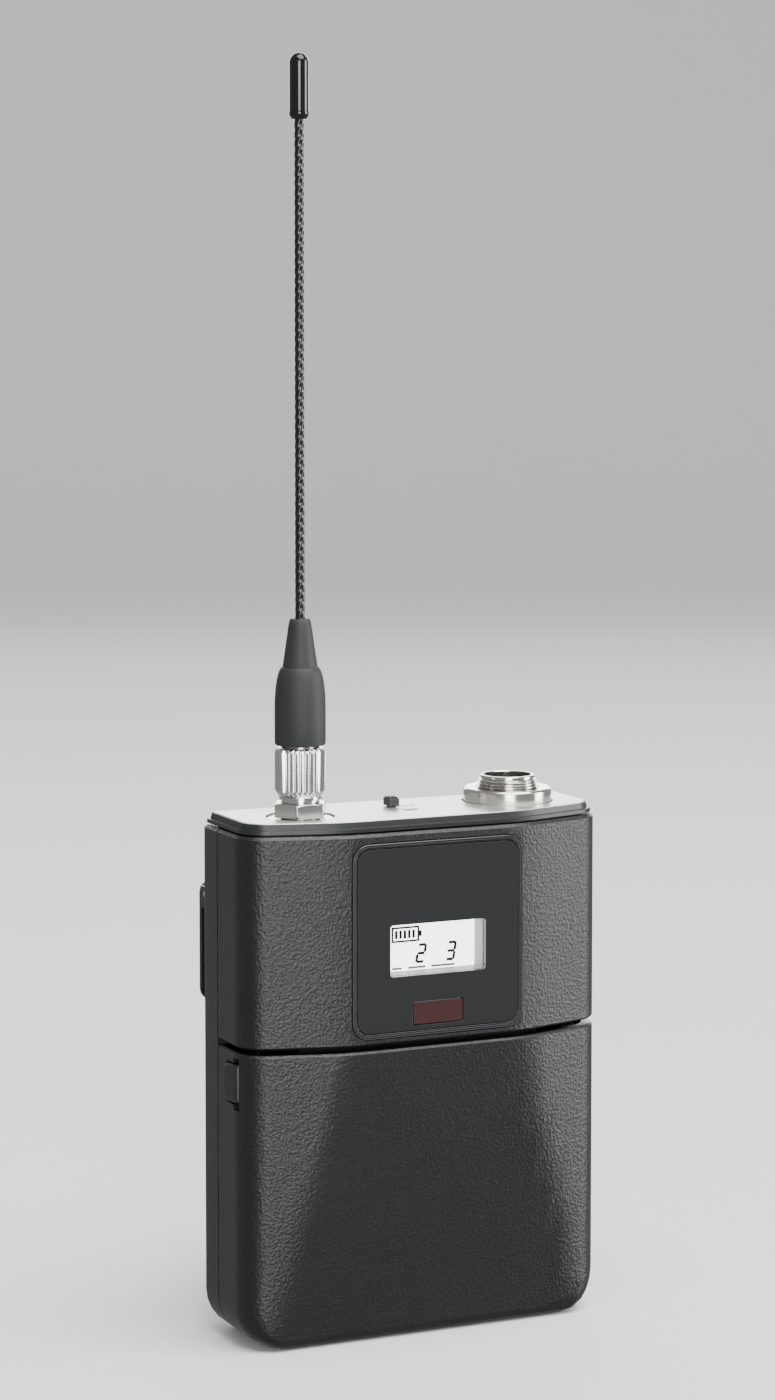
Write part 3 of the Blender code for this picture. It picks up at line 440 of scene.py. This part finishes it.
BEZEL_CORNER = 2.9
BEZEL_STEPS = (
    (0.1, 0.12),
    (0.06, 0.0),
    (0.03, -0.45),
    (0.12, 0.0),
    (0.06, 0.42),
    (0.12, 0.0),
    (0.06, -0.42),
    (0.1, 0.0),
    (0.03, 0.3),
    (0.07, -0.05),
)
low, high = box_mm("display_bezel")
ring = bmesh.new()
outline = rounded_face(ring, (low.x, low.z), (high.x, high.z), high.y, BEZEL_CORNER)
raised = bmesh.ops.extrude_face_region(ring, geom=outline)["geom"]
bmesh.ops.delete(ring, geom=outline, context="FACES_ONLY")
faces = [part for part in raised if isinstance(part, bmesh.types.BMFace)]
lift = low.y + BEZEL_STEPS[0][1] - high.y
bmesh.ops.translate(ring, vec=(0, lift, 0), verts=faces[0].verts)
ring.normal_update()
for inwards, rise in BEZEL_STEPS:
    bmesh.ops.inset_region(ring, faces=faces, thickness=inwards, depth=rise, use_even_offset=True)
raised = bmesh.ops.extrude_face_region(ring, geom=faces)["geom"]
bottom = [part for part in raised if isinstance(part, bmesh.types.BMFace)]
for vert in bottom[0].verts:
    vert.co.y = high.y
bmesh.ops.delete(ring, geom=bottom + [face for face in faces if face.is_valid], context="FACES_ONLY")
rims = [side for side in ring.edges if side.is_boundary]
bmesh.ops.bridge_loops(ring, edges=rims)
finish_piece("bezel_ring", ring, bezel_plastic, "display_bezel", 0.05)

# %% [markdown]
# The panel, its windows and the parts behind them keep the working model's shapes. The clear
# window is nearly invisible, and the pale display behind it sits about 4 mm deep in a grey frame.

# %% Panel and windows
casting("display_panel", panel_sheet, 0.06)
casting("infrared_window", infrared_filter, 0.05)
casting("display_window", window_acrylic, 0.04)
casting("lcd_frame", recess_plastic, 0.1)
casting("lcd_module", display_glass_painted_glow, 0.15)

# %% [markdown]
# A liquid-crystal display draws with fixed flat segments: a battery outline with five bars, and
# two slanted seven-segment figures. Each segment is a sliver of a cube. A row of plain bars
# stands where such a display often has small captions.

# %% Display segments
INK_THICK = 0.05
glass_front = box_mm("lcd_module")[0].y


def add_bar(bm, x, z):
    """One segment, half sunk in the glass, between two x values and two z values."""
    size = Matrix.Diagonal((x[1] - x[0], INK_THICK * 2, z[1] - z[0], 1.0))
    place = Matrix.Translation(((x[0] + x[1]) / 2, glass_front, (z[0] + z[1]) / 2))
    return bmesh.ops.create_cube(bm, size=1.0, matrix=place @ size)["verts"]


FIGURE_WIDE = 1.75
FIGURE_HIGH = 3.25
FIGURE_LINE = 0.46
FIGURE_LEAN = 0.16
SEGMENTS = {2: "top upper_right middle lower_left bottom", 3: "top upper_right middle lower_right bottom"}


def add_figure(bm, figure, x, z):
    """A seven-segment figure with its lower left corner at x, z."""
    line, wide, high = FIGURE_LINE, FIGURE_WIDE, FIGURE_HIGH
    half = high / 2
    spots = {
        "top": ((line * 0.6, wide - line * 0.6), (high - line, high)),
        "middle": ((line * 0.6, wide - line * 0.6), (half - line / 2, half + line / 2)),
        "bottom": ((line * 0.6, wide - line * 0.6), (0.0, line)),
        "upper_right": ((wide - line, wide), (half + line * 0.3, high - line * 0.5)),
        "lower_right": ((wide - line, wide), (line * 0.5, half - line * 0.3)),
        "lower_left": ((0.0, line), (line * 0.5, half - line * 0.3)),
    }
    verts = []
    for segment in SEGMENTS[figure].split():
        across, up = spots[segment]
        verts += add_bar(bm, [x + value for value in across], [z + value for value in up])
    lean = Matrix.Identity(4)
    lean[0][2] = FIGURE_LEAN
    lean[0][3] = -FIGURE_LEAN * z
    bmesh.ops.transform(bm, matrix=lean, verts=verts)


display_middle = middle_mm("display_window")
icon_left, icon_right = display_middle.x - 6.3, display_middle.x - 1.3
icon_foot, icon_head = display_middle.z + 0.45, display_middle.z + 3.0
ink = bmesh.new()
ICON_LINE = 0.32
add_bar(ink, (icon_left, icon_right), (icon_foot, icon_foot + ICON_LINE))
add_bar(ink, (icon_left, icon_right), (icon_head - ICON_LINE, icon_head))
add_bar(ink, (icon_left, icon_left + ICON_LINE), (icon_foot, icon_head))
add_bar(ink, (icon_right - ICON_LINE, icon_right), (icon_foot, icon_head))
add_bar(ink, (icon_right, icon_right + 0.42), (icon_foot + 0.8, icon_head - 0.8))
for step in range(5):
    left = icon_left + 0.62 + 0.78 * step
    add_bar(ink, (left, left + 0.46), (icon_foot + 0.6, icon_head - 0.6))
figure_foot = display_middle.z - 3.2
add_figure(ink, 2, display_middle.x - 2.1, figure_foot)
add_figure(ink, 3, display_middle.x + 3.3, figure_foot)
finish_piece("display_segments", ink, display_ink, "lcd_module", hide=False)

pale = bmesh.new()
caption_foot = display_middle.z - 4.0
CAPTION_HIGH = 0.34
for left, wide in ((-6.2, 1.7), (-3.3, 3.1), (0.9, 4.2)):
    across = (display_middle.x + left, display_middle.x + left + wide)
    add_bar(pale, across, (caption_foot, caption_foot + CAPTION_HIGH))
finish_piece("display_captions", pale, display_ghost, "lcd_module", hide=False)

# %% [markdown]
# ## Turned parts
# Connectors are made on a lathe, and so are these: a half section is drawn beside its axis and
# spun a full turn. A section that ends on the axis closes by itself, and a tube's section is
# joined back to its start.

# %% Turn a half section
def turned(section, at, steps=64, tube=True):
    """Spins a half section, given as (radius, height) pairs, about an upright axis at (x, y)."""
    bm = bmesh.new()
    line = [bm.verts.new((at[0] + radius, at[1], height)) for radius, height in section]
    pairs = list(zip(line, line[1:]))
    if tube:
        pairs.append((line[-1], line[0]))
    sides = [bm.edges.new(pair) for pair in pairs]
    bmesh.ops.spin(
        bm,
        geom=line + sides,
        cent=(at[0], at[1], 0),
        axis=(0, 0, 1),
        angle=2 * math.pi,
        steps=steps,
        use_merge=True,
    )
    bmesh.ops.remove_doubles(bm, verts=bm.verts, dist=0.0005)
    return bm


def arc(steps, turn=math.pi / 2):
    """Angles from nought to the turn, in even steps."""
    return [turn * step / steps for step in range(steps + 1)]


# %% [markdown]
# Hexagons and flutes are cut into round bar. The same is done here: the turned blank's outline
# is trimmed to a limit that depends on the angle, so a chamfer meets each flat in the curved
# line that a real hexagon nut shows.

# %% Trim a turned blank
def trim(bm, at, limit):
    """Pulls in every vertex further from the axis than limit(angle)."""
    for vert in bm.verts:
        out = Vector((vert.co.x - at[0], vert.co.y - at[1]))
        reach = limit(math.atan2(out.y, out.x))
        if out.length > reach:
            out *= reach / out.length
            vert.co.x, vert.co.y = at[0] + out.x, at[1] + out.y


aerial = middle_mm("antenna_whip")
aerial_at = (aerial.x, aerial.y)
low, high = box_mm("antenna_jack_nut")
nut_corner = (high.x - low.x) / 2
nut_flat = nut_corner * math.cos(math.pi / 6)
SIXTH = math.pi / 3
NUT_BORE = 3.25
CHAMFER_WIDE = 0.62
CHAMFER_HIGH = 0.3
chamfer = [
    (nut_flat + CHAMFER_WIDE * share, high.z - CHAMFER_HIGH * share) for share in (1.0, 0.66, 0.33, 0.0)
]
section = [(NUT_BORE, low.z), (nut_corner, low.z)]
section += chamfer
section += [(nut_flat - 0.1, high.z), (NUT_BORE, high.z)]
hexagon = turned(section, aerial_at, 72)
trim(hexagon, aerial_at, lambda angle: nut_flat / math.cos(angle % SIXTH - SIXTH / 2))
finish_piece("jack_hexagon", hexagon, bright_nickel, "antenna_jack_nut", 0.08, angle=25)
casting("antenna_jack", bright_nickel, 0.08)

# %% [markdown]
# The coupling nut is turned by hand, so it is fluted for grip. Its lower end tapers into a neck
# before the flutes begin, and the flutes run out on that taper in small points.

# %% Fluted coupling nut
low, high = box_mm("antenna_coupling_nut")
GRIP_FLUTES = 28
GRIP_RADIUS = 4.13
FLUTE_DEPTH = 0.45
GRIP_BORE = 3.15
NECK = 3.45
NECK_HIGH = 0.5
TAPER_HIGH = 1.1
taper_foot = low.z + NECK_HIGH
section = [(GRIP_BORE, low.z), (NECK, low.z), (NECK, taper_foot)]
section += [
    (NECK + (GRIP_RADIUS - NECK) * share, taper_foot + TAPER_HIGH * share)
    for share in (0.2, 0.4, 0.6, 0.8, 1.0)
]
section += [(GRIP_RADIUS, high.z - 0.9), (GRIP_RADIUS, high.z - 0.55), (3.9, high.z - 0.25)]
section += [(3.6, high.z), (GRIP_BORE, high.z)]


def flute(angle):
    """The grip's radius at an angle: a wave between the full radius and the flutes' floors."""
    return GRIP_RADIUS - FLUTE_DEPTH * (0.5 + 0.5 * math.cos(GRIP_FLUTES * angle))


grip = turned(section, aerial_at, GRIP_FLUTES * 6)
trim(grip, aerial_at, flute)
finish_piece("grip_nut", grip, bright_nickel, "antenna_coupling_nut", angle=30)
casting("antenna_ferrule", satin_nickel, 0.1)

# %% [markdown]
# The boot is soft rubber moulded over the ferrule: a straight skirt, a round shoulder and a
# long taper that lets the whip bend without kinking.

# %% Rubber boot
low, high = box_mm("antenna_boot")
boot_radius = (high.x - low.x) / 2
shoulder_foot = low.z + 6.0
SHOULDER_HIGH = 6.7
SHOULDER_IN = 1.3
section = [(2.8, low.z), (boot_radius - 0.35, low.z), (boot_radius - 0.1, low.z + 0.12)]
section += [(boot_radius, low.z + 0.4), (boot_radius, shoulder_foot - 2.0)]
section += [
    (boot_radius - SHOULDER_IN * (1 - math.cos(turn)), shoulder_foot + SHOULDER_HIGH * math.sin(turn))
    for turn in arc(12)
]
section += [(1.9, high.z - 1.2), (1.72, high.z - 0.3), (1.5, high.z), (0.95, high.z)]
section += [(0.95, low.z + 4.7), (2.8, low.z + 4.7)]
finish_piece("boot_moulding", turned(section, aerial_at), boot_rubber, "antenna_boot", angle=50)

# %% [markdown]
# The whip is a steel cable in a thin tight jacket, so the strands show through as a slow spiral.
# A lobed outline is carried up the axis and turned as it goes, which is a spin with a lift.

# %% Whip with its strands
low, high = box_mm("antenna_whip")
STRANDS = 6
STRAND_PITCH = 1.55
whip_radius = (high.x - low.x) / 2
outline = bmesh.new()
loop = bmesh.ops.create_circle(outline, cap_ends=False, segments=STRANDS * 6, radius=whip_radius)["verts"]
for vert in loop:
    around = math.atan2(vert.co.y, vert.co.x)
    vert.co *= 1 - 0.045 * (1 - math.cos(STRANDS * around))
bmesh.ops.translate(outline, vec=(*aerial_at, low.z), verts=loop)
LIFT = 0.18
lifts = round((high.z - low.z) / LIFT)
whip_turns = (high.z - low.z) / (STRAND_PITCH * STRANDS)
bmesh.ops.spin(
    outline,
    geom=loop + outline.edges[:],
    cent=(*aerial_at, 0),
    axis=(0, 0, 1),
    dvec=(0, 0, (high.z - low.z) / lifts),
    angle=2 * math.pi * whip_turns,
    steps=lifts,
    use_merge=False,
)
bmesh.ops.holes_fill(outline, edges=[side for side in outline.edges if side.is_boundary], sides=0)
finish_piece("whip_cable", outline, sleeve_plastic, "antenna_whip", angle=70)

# %% [markdown]
# A gloss cap guards the whip's tip. A small rounded collar marks its open end.

# %% End cap
low, high = box_mm("antenna_end_cap")
cap_radius = 1.55
section = [(0.9, low.z), (1.15, low.z), (1.45, low.z + 0.45), (1.62, low.z + 0.75), (1.65, low.z + 0.95)]
section += [(1.61, low.z + 1.2), (cap_radius, low.z + 1.5)]
section += [
    (cap_radius * math.cos(turn), high.z - cap_radius + cap_radius * math.sin(turn)) for turn in arc(12)
]
section += [(0.0, high.z - 3.0), (0.9, high.z - 3.0)]
finish_piece("tip_cap", turned(section, aerial_at, 48), cap_plastic, "antenna_end_cap", angle=50)

# %% [markdown]
# The microphone socket is a small locking connector: a ring nut clamps it to the lid, and its
# threaded rim steps inwards to the mouth of the cup. Four gold pins stand in a black insert.

# %% Microphone socket
low, high = box_mm("input_socket_shell")
socket = middle_mm("input_socket_shell")
socket_at = (socket.x, socket.y)
nut_low, nut_high = box_mm("input_socket_nut")
nut_radius = (nut_high.x - nut_low.x) / 2
CUP = 4.0
THREAD = 5.2
FLANGE = 6.2
FLANGE_FOOT = 81.0
FLANGE_HEAD = 82.9
section = [(CUP, low.z), (THREAD, low.z), (THREAD, FLANGE_FOOT), (FLANGE, FLANGE_FOOT)]
section += [(FLANGE, FLANGE_HEAD), (THREAD, FLANGE_HEAD)]
section += [(THREAD, nut_high.z - 0.1)]
for ridge in range(3):
    foot = nut_high.z + 0.05 + 0.48 * ridge
    section += [(4.88 - 0.12 * ridge, foot), (THREAD - 0.04 - 0.14 * ridge, foot + 0.2)]
    section += [(THREAD - 0.04 - 0.14 * ridge, foot + 0.28)]
section += [(4.5, high.z - 0.55), (4.58, high.z - 0.4), (4.55, high.z - 0.1), (4.42, high.z)]
section += [(CUP + 0.1, high.z), (CUP, high.z - 0.15)]
finish_piece("socket_rim", turned(section, socket_at, 72), bright_nickel, "input_socket_shell", angle=20)

RING_BORE = 5.35
section = [(RING_BORE, nut_low.z), (nut_radius, nut_low.z), (nut_radius, nut_high.z - 0.35)]
section += [(nut_radius - 0.3, nut_high.z), (RING_BORE, nut_high.z)]
finish_piece("socket_ring", turned(section, socket_at, 72), bright_nickel, "input_socket_nut", 0.12)
casting("input_socket_insulator", inner_plastic, 0.15)
for pin in ("input_pin_1", "input_pin_2", "input_pin_3", "input_pin_4"):
    low, high = box_mm(pin)
    centre = middle_mm(pin)
    thick = (high.x - low.x) / 2
    section = [(0.0, low.z), (thick, low.z), (thick, high.z - thick)]
    section += [(thick * math.cos(turn), high.z - thick + thick * math.sin(turn)) for turn in arc(5)[1:]]
    contact = turned(section, (centre.x, centre.y), 16, tube=False)
    finish_piece(pin + "_contact", contact, gold_plate, pin, angle=50)

# %% [markdown]
# The slide switch has a small ribbed lever, and a smoked lens in front of it covers the status
# light. The lever's foot hides under the lid and slides with it.

# %% Slide lever and status lens
low, high = box_mm("power_switch_lever")
LEVER_WIDE = 1.8
CAP_HIGH = 1.5
lever_x = (low.x + high.x) / 2
lever_y = (low.y + high.y) / 2


def add_block(bm, x, y, z):
    """A box between pairs of x, y and z values."""
    size = Matrix.Diagonal((x[1] - x[0], y[1] - y[0], z[1] - z[0], 1.0))
    place = Matrix.Translation(((x[0] + x[1]) / 2, (y[0] + y[1]) / 2, (z[0] + z[1]) / 2))
    return bmesh.ops.create_cube(bm, size=1.0, matrix=place @ size)["verts"]


lever = bmesh.new()
side = LEVER_WIDE / 2
add_block(lever, (lever_x - side, lever_x + side), (low.y, high.y), (high.z - CAP_HIGH, high.z - 0.25))
for rib in (-0.6, 0.0, 0.6):
    across = (lever_x + rib - 0.14, lever_x + rib + 0.14)
    add_block(lever, across, (low.y + 0.2, high.y - 0.2), (high.z - 0.5, high.z))
add_block(lever, (lever_x - 0.7, lever_x + 0.7), (lever_y - 0.4, lever_y + 0.4), (low.z + 0.5, high.z - 1.0))
add_block(lever, (low.x, high.x), (low.y + 0.1, high.y - 0.1), (low.z, low.z + 1.0))
finish_piece("slide_lever", lever, lever_plastic, "power_switch_lever", 0.09)

low, high = box_mm("status_led")
light = middle_mm("status_led")
lens_radius = (high.x - low.x) / 2
section = [(0.0, low.z), (lens_radius, low.z), (lens_radius, high.z - 0.3)]
section += [(lens_radius * math.cos(turn), high.z - 0.3 + 0.3 * math.sin(turn)) for turn in arc(6)[1:]]
light_lens = turned(section, (light.x, light.y), 40, tube=False)
finish_piece("status_lens", light_lens, lens_plastic, "status_led", angle=60)

# %% [markdown]
# ## Behind the door and at the back
# The cells lie across the case in cradles. A cell's jacket is printed in a dark field with a
# copper-coloured band at its positive end, and its metal ends show through.

# %% Battery cells
CELL_BAND = 12.0
CELL_BODY = 48.9


def cell(node, towards):
    """A round cell lying along X with its positive end towards +1 or -1."""
    low, high = box_mm(node)
    centre = middle_mm(node)
    radius = (high.z - low.z) / 2
    start = -(high.x - low.x) / 2
    shoulder = start + CELL_BODY
    section = [(0.0, start + 0.25), (5.6, start + 0.25), (5.8, start), (6.5, start), (radius, start + 0.5)]
    section += [(radius, shoulder - CELL_BAND), (radius, shoulder - 0.5), (6.5, shoulder), (5.6, shoulder)]
    section += [(5.4, shoulder - 0.15), (2.8, shoulder - 0.1), (2.7, -start - 0.3)]
    section += [(2.4, -start), (0.0, -start)]
    bm = turned(section, (0.0, 0.0), 64, tube=False)
    for face in bm.faces:
        spot = face.calc_center_median()
        metal_end = spot.xy.length < 5.5
        face.material_index = 2 if metal_end else int(spot.z > shoulder - CELL_BAND)
    bmesh.ops.rotate(bm, verts=bm.verts, matrix=Matrix.Rotation(towards * math.pi / 2, 3, "Y"))
    bmesh.ops.translate(bm, verts=bm.verts, vec=centre)
    finish_piece(node + "_jacket", bm, [jacket_dark, jacket_band, satin_nickel], node, angle=35)


cell("battery_cell_lower", 1)
cell("battery_cell_upper", -1)

# %% [markdown]
# The remaining inner parts keep the working model's shapes and get softened edges: the cradle
# tray, the deck with its two rubber keys, the contact springs and plates, and the screening can.

# %% Tray, deck, keys and contacts
casting("battery_tray", inner_plastic, 0.25)
casting("control_deck", inner_plastic, 0.3)
casting("menu_button", key_rubber, 0.35, segments=3)
casting("enter_button", key_rubber, 0.35, segments=3)
casting("contact_spring_lower", spring_steel, 0.0, angle=80)
casting("contact_spring_upper", spring_steel, 0.0, angle=80)
casting("contact_plate_lower", spring_steel, 0.08)
casting("contact_plate_upper", spring_steel, 0.08)
casting("radio_shield", satin_nickel, 0.2)
casting("door_hinge_pin", satin_nickel, 0.15)

# %% [markdown]
# At the back are the belt clip, its two pivots, four screws and a blank label.

# %% Clip, pivots, screws and label
casting("belt_clip", oxide_steel, 0.2)
casting("clip_pivot_left", satin_nickel, 0.1)
casting("clip_pivot_right", satin_nickel, 0.1)
for screw in ("case_screw_1", "case_screw_2", "case_screw_3", "case_screw_4"):
    casting(screw, oxide_steel, 0.06)
casting("rating_label", label_film, 0.05)

# %% [markdown]
# Parts that only show through gaps need no new shape. They keep their own meshes and get a finish.

# %% Finishes for the hidden parts
hidden_parts = {
    "infrared_receiver": lens_plastic,
    "display_board": board_mask,
    "main_board": board_mask,
    "button_board": board_mask,
    "power_switch_body": inner_plastic,
}
for node, finish in hidden_parts.items():
    frame["nodes"][node].data.materials.clear()
    frame["nodes"][node].data.materials.append(finish)
print("gave a finish to", len(hidden_parts), "parts inside the case")

# %% [markdown]
# ## The studio
# The floor is a wide pale dish whose rim curves up into a wall, wide enough to hold a camera on
# any side. It is kept out of glossy reflections: black enamel would mirror all that white and
# look grey, so it mirrors the softer sky and the softboxes instead.

# %% Pale dish
FLOOR_RADIUS = 1500.0
RIM_RADIUS = 900.0
section = [(0.0, -0.05), (FLOOR_RADIUS, -0.05)]
section += [
    (FLOOR_RADIUS + RIM_RADIUS * math.sin(turn), RIM_RADIUS * (1 - math.cos(turn)) - 0.05)
    for turn in arc(16)[1:]
]
section += [(FLOOR_RADIUS + RIM_RADIUS, RIM_RADIUS + 900.0)]
dish = turned(section, (0.0, 0.0), 96, tube=False)
bmesh.ops.scale(dish, vec=(MM, MM, MM), verts=dish.verts)
bmesh.ops.recalc_face_normals(dish, faces=dish.faces)
for face in dish.faces:
    face.smooth = True
dish_mesh = bpy.data.meshes.new("studio_floor")
dish.to_mesh(dish_mesh)
dish.free()
floor = bpy.data.objects.new("studio_floor", dish_mesh)
bpy.context.scene.collection.objects.link(floor)
floor_paint = moulded("matt emulsion, pale", "e9e9e8", 0.85, depth=0.0, pebble=3 * MM)
dish_mesh.materials.append(floor_paint)
floor.visible_glossy = False
print("the floor is", round(2 * FLOOR_RADIUS / 1000, 1), "m across")

# %% [markdown]
# The light is a soft sky with four softboxes. A black object is seen by what it reflects, so one
# softbox stands where each side facet mirrors it, and one stands behind for the lid. These three
# are narrowed, like a real softbox with a honeycomb, so that they light the case and spare the
# floor. The large fourth one hangs overhead and lights the whole set.

# %% Sky and softboxes
sky = bpy.data.worlds.new("soft sky")
sky.use_nodes = True
sky.node_tree.nodes["Background"].inputs["Color"].default_value = linear("f4f5f7")
sky.node_tree.nodes["Background"].inputs["Strength"].default_value = 0.4
bpy.context.scene.world = sky
AIM = Vector((0.0, 0.0, 0.07))


def softbox(name, azimuth, lift, distance, width, height, power, spread):
    """A softbox at an azimuth and a height angle, facing the case; metres, watts and degrees."""
    turn, rise = math.radians(azimuth), math.radians(lift)
    away = Vector((math.sin(turn) * math.cos(rise), -math.cos(turn) * math.cos(rise), math.sin(rise)))
    light = bpy.data.lights.new(name, "AREA")
    light.shape = "RECTANGLE"
    light.size = width
    light.size_y = height
    light.energy = power
    light.spread = math.radians(spread)
    lamp = bpy.data.objects.new(name, light)
    lamp.location = AIM + away * distance
    lamp.rotation_euler = away.to_track_quat("Z", "Y").to_euler()
    lamp.visible_camera = False
    bpy.context.scene.collection.objects.link(lamp)
    print(name, "stands at", [round(value, 2) for value in lamp.location])


softbox("right softbox", 66.0, 4.0, 1.1, 0.5, 0.9, 2.1, 60.0)
softbox("left softbox", -19.0, 4.0, 1.2, 0.5, 0.9, 2.0, 60.0)
softbox("overhead softbox", 20.0, 68.0, 1.3, 1.2, 1.2, 34.0, 170.0)
softbox("back softbox", 155.0, 14.0, 1.3, 1.4, 0.6, 2.6, 70.0)

# %% [markdown]
# The camera stands a little left of the front and slightly above, about 0.6 m away, with a
# lens that frames the whip's tip and the case's foot. A small shift sets the object in the frame.

# %% Camera
CAMERA_AZIMUTH = math.radians(-24.87)
CAMERA_PITCH = math.radians(4.445)
CAMERA_AWAY = 582.4
back = Vector(
    (
        math.sin(CAMERA_AZIMUTH) * math.cos(CAMERA_PITCH),
        -math.cos(CAMERA_AZIMUTH) * math.cos(CAMERA_PITCH),
        math.sin(CAMERA_PITCH),
    )
)
rightwards = Vector((math.cos(CAMERA_AZIMUTH), math.sin(CAMERA_AZIMUTH), 0.0))
look_at = rightwards * -3.45 + Vector((0.0, 0.0, 126.9))
optics = bpy.data.cameras.new("camera")
optics.lens = 91.55
optics.sensor_width = 36.0
optics.shift_y = -0.1
optics.clip_start = 0.01
camera = bpy.data.objects.new("camera", optics)
camera.location = (look_at + back * CAMERA_AWAY) * MM
camera.rotation_euler = back.to_track_quat("Z", "Y").to_euler()
bpy.context.scene.collection.objects.link(camera)
bpy.context.scene.camera = camera
print("the camera stands", round(camera.location.length, 2), "m from the origin")
